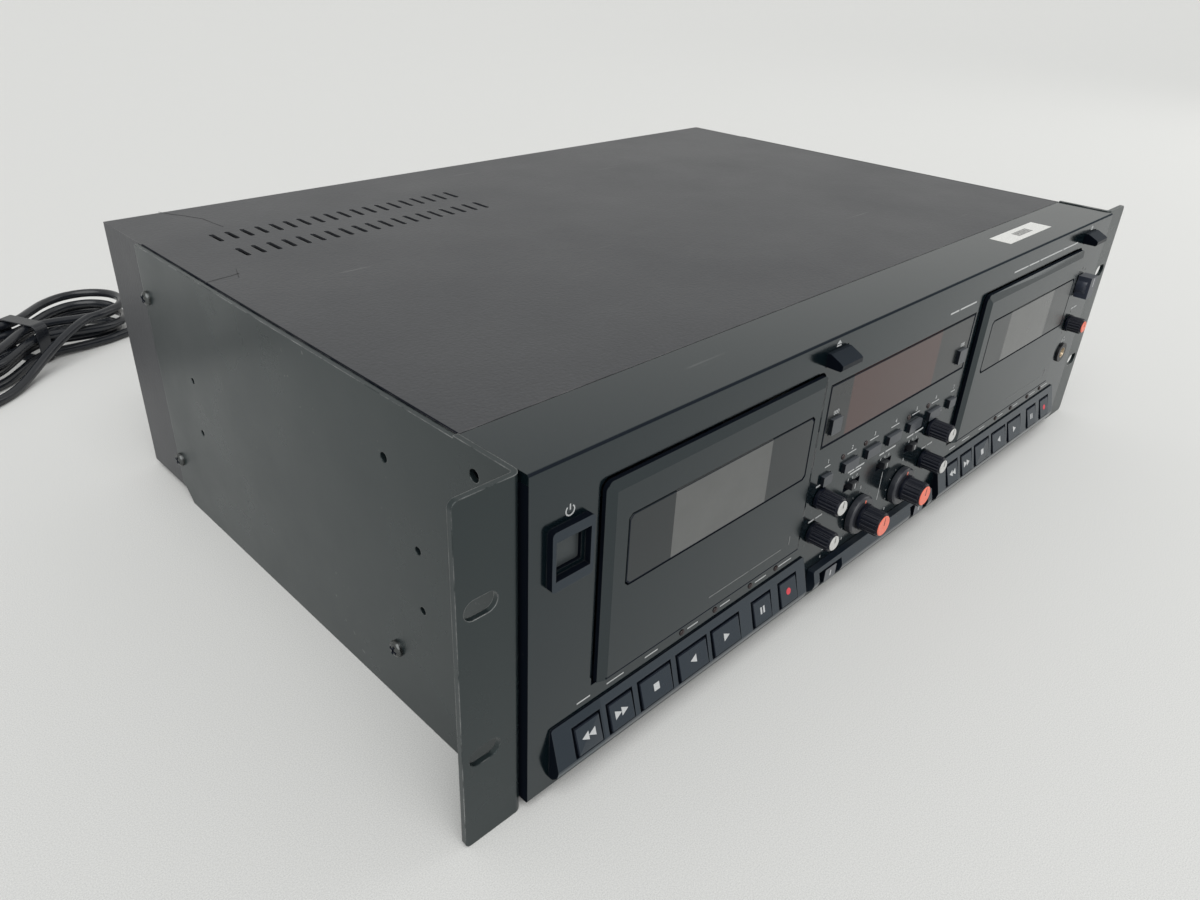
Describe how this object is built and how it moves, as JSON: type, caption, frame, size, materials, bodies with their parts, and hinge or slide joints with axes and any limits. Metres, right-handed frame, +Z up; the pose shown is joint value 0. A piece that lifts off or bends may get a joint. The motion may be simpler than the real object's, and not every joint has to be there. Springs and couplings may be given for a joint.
{
  "type": "double cassette deck",
  "caption": "Rack-mount twin cassette deck with hinged tape doors, sloped transport keys, concentric level knobs, slide switches, display window and a tied mains cord.",
  "frame": {"origin": "middle of the deck's box without its cord, on the surface that the brackets stand on", "axes": "+X to the right seen from the front, +Y to the back, +Z up"},
  "size_m": [0.6423, 0.5524, 0.1325],
  "materials": {
    "bracket_paint": "satin black paint, worn edges",
    "cover_paint": "fine-textured black paint",
    "chassis_steel": "painted sheet steel",
    "panel_plastic": "matte black moulding",
    "door_plastic": "satin black moulding",
    "window_clear": "smoked clear plastic",
    "display_filter": "dark red filter",
    "mechanism_metal": "plated steel",
    "spindle_plastic": "white moulding",
    "board": "circuit board",
    "socket_plastic": "black moulding",
    "key_plastic": "satin blue-black moulding",
    "button_plastic": "satin black moulding",
    "knob_plastic": "fluted black moulding with a light cap",
    "knob_orange": "black grip with an orange cap",
    "cord_jacket": "black jacket, soft gloss",
    "plug_moulding": "black moulding"
  },
  "bodies": {
    "deck": {"rack_brackets": "bracket_paint", "chassis": "chassis_steel", "top_cover": "cover_paint", "front_panel": "panel_plastic", "display_window": "display_filter", "tape_mechanisms": "mechanism_metal", "electronics": "board", "sockets": "socket_plastic", "cord_lead": "cord_jacket", "cord_hank": "cord_jacket", "plug": "plug_moulding"},
    "cassette_door_1": {"cassette_door_1": "door_plastic", "door_window_1": "window_clear"},
    "reel_spindle_1a": {"reel_spindle_1a": "spindle_plastic"},
    "reel_spindle_1b": {"reel_spindle_1b": "spindle_plastic"},
    "rewind_key_1": {"rewind_key_1": "key_plastic"},
    "fast_forward_key_1": {"fast_forward_key_1": "key_plastic"},
    "stop_key_1": {"stop_key_1": "key_plastic"},
    "reverse_play_key_1": {"reverse_play_key_1": "key_plastic"},
    "play_key_1": {"play_key_1": "key_plastic"},
    "pause_key_1": {"pause_key_1": "key_plastic"},
    "record_key_1": {"record_key_1": "key_plastic"},
    "eject_button_1": {"eject_button_1": "button_plastic"},
    "cassette_door_2": {"cassette_door_2": "door_plastic", "door_window_2": "window_clear"},
    "reel_spindle_2a": {"reel_spindle_2a": "spindle_plastic"},
    "reel_spindle_2b": {"reel_spindle_2b": "spindle_plastic"},
    "rewind_key_2": {"rewind_key_2": "key_plastic"},
    "fast_forward_key_2": {"fast_forward_key_2": "key_plastic"},
    "stop_key_2": {"stop_key_2": "key_plastic"},
    "reverse_play_key_2": {"reverse_play_key_2": "key_plastic"},
    "play_key_2": {"play_key_2": "key_plastic"},
    "pause_key_2": {"pause_key_2": "key_plastic"},
    "record_key_2": {"record_key_2": "key_plastic"},
    "eject_button_2": {"eject_button_2": "button_plastic"},
    "power_button": {"power_button": "button_plastic"},
    "counter_reset_1": {"counter_reset_1": "button_plastic"},
    "counter_reset_2": {"counter_reset_2": "button_plastic"},
    "function_button_1": {"function_button_1": "button_plastic"},
    "function_button_2": {"function_button_2": "button_plastic"},
    "function_button_3": {"function_button_3": "button_plastic"},
    "function_button_4": {"function_button_4": "button_plastic"},
    "function_button_5": {"function_button_5": "button_plastic"},
    "function_button_6": {"function_button_6": "button_plastic"},
    "function_button_7": {"function_button_7": "button_plastic"},
    "pitch_knob_1": {"pitch_knob_1": "knob_plastic"},
    "mix_knob_1": {"mix_knob_1": "knob_plastic"},
    "pitch_knob_2": {"pitch_knob_2": "knob_plastic"},
    "mix_knob_2": {"mix_knob_2": "knob_plastic"},
    "level_ring_1": {"level_ring_1": "knob_plastic"},
    "level_knob_1": {"level_knob_1": "knob_orange"},
    "level_ring_2": {"level_ring_2": "knob_plastic"},
    "level_knob_2": {"level_knob_2": "knob_orange"},
    "phones_knob": {"phones_knob": "knob_plastic"},
    "monitor_selector": {"monitor_selector": "knob_plastic"},
    "slide_switch_1": {"slide_switch_1": "button_plastic"},
    "slide_switch_2": {"slide_switch_2": "button_plastic"},
    "slide_switch_3": {"slide_switch_3": "button_plastic"},
    "bar_switch_1": {"bar_switch_1": "button_plastic"},
    "bar_switch_2": {"bar_switch_2": "button_plastic"}
  },
  "joints": [
    {"name": "cassette_door_1_hinge", "type": "hinge", "parent": "deck", "child": "cassette_door_1", "pos_m": [-0.129, -0.1475, 0.0425], "axis": [1, 0, 0], "range_deg": [0, 25]},
    {"name": "reel_spindle_1a_turn", "type": "hinge", "parent": "deck", "child": "reel_spindle_1a", "pos_m": [-0.15025, -0.136, 0.074], "axis": [0, 1, 0], "continuous": true},
    {"name": "reel_spindle_1b_turn", "type": "hinge", "parent": "deck", "child": "reel_spindle_1b", "pos_m": [-0.10775, -0.136, 0.074], "axis": [0, 1, 0], "continuous": true},
    {"name": "rewind_key_1_slide", "type": "slide", "parent": "deck", "child": "rewind_key_1", "axis": [0, 1, 0], "range_m": [0, 0.0012], "stiffness_N_per_m": 250},
    {"name": "fast_forward_key_1_slide", "type": "slide", "parent": "deck", "child": "fast_forward_key_1", "axis": [0, 1, 0], "range_m": [0, 0.0012], "stiffness_N_per_m": 250},
    {"name": "stop_key_1_slide", "type": "slide", "parent": "deck", "child": "stop_key_1", "axis": [0, 1, 0], "range_m": [0, 0.0012], "stiffness_N_per_m": 250},
    {"name": "reverse_play_key_1_slide", "type": "slide", "parent": "deck", "child": "reverse_play_key_1", "axis": [0, 1, 0], "range_m": [0, 0.0012], "stiffness_N_per_m": 250},
    {"name": "play_key_1_slide", "type": "slide", "parent": "deck", "child": "play_key_1", "axis": [0, 1, 0], "range_m": [0, 0.0012], "stiffness_N_per_m": 250},
    {"name": "pause_key_1_slide", "type": "slide", "parent": "deck", "child": "pause_key_1", "axis": [0, 1, 0], "range_m": [0, 0.0012], "stiffness_N_per_m": 250},
    {"name": "record_key_1_slide", "type": "slide", "parent": "deck", "child": "record_key_1", "axis": [0, 1, 0], "range_m": [0, 0.0012], "stiffness_N_per_m": 250},
    {"name": "eject_button_1_slide", "type": "slide", "parent": "deck", "child": "eject_button_1", "axis": [0, 1, 0], "range_m": [0, 0.003], "stiffness_N_per_m": 250},
    {"name": "cassette_door_2_hinge", "type": "hinge", "parent": "deck", "child": "cassette_door_2", "pos_m": [0.123, -0.1475, 0.0425], "axis": [1, 0, 0], "range_deg": [0, 25]},
    {"name": "reel_spindle_2a_turn", "type": "hinge", "parent": "deck", "child": "reel_spindle_2a", "pos_m": [0.10175, -0.136, 0.074], "axis": [0, 1, 0], "continuous": true},
    {"name": "reel_spindle_2b_turn", "type": "hinge", "parent": "deck", "child": "reel_spindle_2b", "pos_m": [0.14425, -0.136, 0.074], "axis": [0, 1, 0], "continuous": true},
    {"name": "rewind_key_2_slide", "type": "slide", "parent": "deck", "child": "rewind_key_2", "axis": [0, 1, 0], "range_m": [0, 0.0012], "stiffness_N_per_m": 250},
    {"name": "fast_forward_key_2_slide", "type": "slide", "parent": "deck", "child": "fast_forward_key_2", "axis": [0, 1, 0], "range_m": [0, 0.0012], "stiffness_N_per_m": 250},
    {"name": "stop_key_2_slide", "type": "slide", "parent": "deck", "child": "stop_key_2", "axis": [0, 1, 0], "range_m": [0, 0.0012], "stiffness_N_per_m": 250},
    {"name": "reverse_play_key_2_slide", "type": "slide", "parent": "deck", "child": "reverse_play_key_2", "axis": [0, 1, 0], "range_m": [0, 0.0012], "stiffness_N_per_m": 250},
    {"name": "play_key_2_slide", "type": "slide", "parent": "deck", "child": "play_key_2", "axis": [0, 1, 0], "range_m": [0, 0.0012], "stiffness_N_per_m": 250},
    {"name": "pause_key_2_slide", "type": "slide", "parent": "deck", "child": "pause_key_2", "axis": [0, 1, 0], "range_m": [0, 0.0012], "stiffness_N_per_m": 250},
    {"name": "record_key_2_slide", "type": "slide", "parent": "deck", "child": "record_key_2", "axis": [0, 1, 0], "range_m": [0, 0.0012], "stiffness_N_per_m": 250},
    {"name": "eject_button_2_slide", "type": "slide", "parent": "deck", "child": "eject_button_2", "axis": [0, 1, 0], "range_m": [0, 0.003], "stiffness_N_per_m": 250},
    {"name": "power_button_slide", "type": "slide", "parent": "deck", "child": "power_button", "axis": [0, 1, 0], "range_m": [0, 0.003], "stiffness_N_per_m": 250},
    {"name": "counter_reset_1_slide", "type": "slide", "parent": "deck", "child": "counter_reset_1", "axis": [0, 1, 0], "range_m": [0, 0.0012], "stiffness_N_per_m": 250},
    {"name": "counter_reset_2_slide", "type": "slide", "parent": "deck", "child": "counter_reset_2", "axis": [0, 1, 0], "range_m": [0, 0.0012], "stiffness_N_per_m": 250},
    {"name": "function_button_1_slide", "type": "slide", "parent": "deck", "child": "function_button_1", "axis": [0, 1, 0], "range_m": [0, 0.0012], "stiffness_N_per_m": 250},
    {"name": "function_button_2_slide", "type": "slide", "parent": "deck", "child": "function_button_2", "axis": [0, 1, 0], "range_m": [0, 0.0012], "stiffness_N_per_m": 250},
    {"name": "function_button_3_slide", "type": "slide", "parent": "deck", "child": "function_button_3", "axis": [0, 1, 0], "range_m": [0, 0.0012], "stiffness_N_per_m": 250},
    {"name": "function_button_4_slide", "type": "slide", "parent": "deck", "child": "function_button_4", "axis": [0, 1, 0], "range_m": [0, 0.0012], "stiffness_N_per_m": 250},
    {"name": "function_button_5_slide", "type": "slide", "parent": "deck", "child": "function_button_5", "axis": [0, 1, 0], "range_m": [0, 0.0012], "stiffness_N_per_m": 250},
    {"name": "function_button_6_slide", "type": "slide", "parent": "deck", "child": "function_button_6", "axis": [0, 1, 0], "range_m": [0, 0.0012], "stiffness_N_per_m": 250},
    {"name": "function_button_7_slide", "type": "slide", "parent": "deck", "child": "function_button_7", "axis": [0, 1, 0], "range_m": [0, 0.0012], "stiffness_N_per_m": 250},
    {"name": "pitch_knob_1_turn", "type": "hinge", "parent": "deck", "child": "pitch_knob_1", "pos_m": [-0.0575, -0.15, 0.0582], "axis": [0, 1, 0], "range_deg": [-150, 150]},
    {"name": "mix_knob_1_turn", "type": "hinge", "parent": "deck", "child": "mix_knob_1", "pos_m": [-0.0585, -0.15, 0.0413], "axis": [0, 1, 0], "range_deg": [-150, 150]},
    {"name": "pitch_knob_2_turn", "type": "hinge", "parent": "deck", "child": "pitch_knob_2", "pos_m": [0.038, -0.15, 0.0582], "axis": [0, 1, 0], "range_deg": [-150, 150]},
    {"name": "mix_knob_2_turn", "type": "hinge", "parent": "deck", "child": "mix_knob_2", "pos_m": [0.037, -0.15, 0.0412], "axis": [0, 1, 0], "range_deg": [-150, 150]},
    {"name": "level_ring_1_turn", "type": "hinge", "parent": "deck", "child": "level_ring_1", "pos_m": [-0.0217, -0.15, 0.035], "axis": [0, 1, 0], "range_deg": [-150, 150]},
    {"name": "level_knob_1_turn", "type": "hinge", "parent": "deck", "child": "level_knob_1", "pos_m": [-0.0217, -0.15, 0.035], "axis": [0, 1, 0], "range_deg": [-150, 150]},
    {"name": "level_ring_2_turn", "type": "hinge", "parent": "deck", "child": "level_ring_2", "pos_m": [0.0157, -0.15, 0.035], "axis": [0, 1, 0], "range_deg": [-150, 150]},
    {"name": "level_knob_2_turn", "type": "hinge", "parent": "deck", "child": "level_knob_2", "pos_m": [0.0157, -0.15, 0.035], "axis": [0, 1, 0], "range_deg": [-150, 150]},
    {"name": "phones_knob_turn", "type": "hinge", "parent": "deck", "child": "phones_knob", "pos_m": [0.1955, -0.15, 0.072], "axis": [0, 1, 0], "range_deg": [-150, 150]},
    {"name": "monitor_selector_turn", "type": "hinge", "parent": "deck", "child": "monitor_selector", "pos_m": [0.194, -0.15, 0.0955], "axis": [0, 1, 0], "range_deg": [-30, 30]},
    {"name": "slide_switch_1_slide", "type": "slide", "parent": "deck", "child": "slide_switch_1", "axis": [1, 0, 0], "range_m": [-0.0035, 0.0035]},
    {"name": "slide_switch_2_slide", "type": "slide", "parent": "deck", "child": "slide_switch_2", "axis": [1, 0, 0], "range_m": [-0.0035, 0.0035]},
    {"name": "slide_switch_3_slide", "type": "slide", "parent": "deck", "child": "slide_switch_3", "axis": [1, 0, 0], "range_m": [-0.0035, 0.0035]},
    {"name": "bar_switch_1_slide", "type": "slide", "parent": "deck", "child": "bar_switch_1", "axis": [1, 0, 0], "range_m": [-0.004, 0.004]},
    {"name": "bar_switch_2_slide", "type": "slide", "parent": "deck", "child": "bar_switch_2", "axis": [1, 0, 0], "range_m": [-0.004, 0.004]}
  ]
}
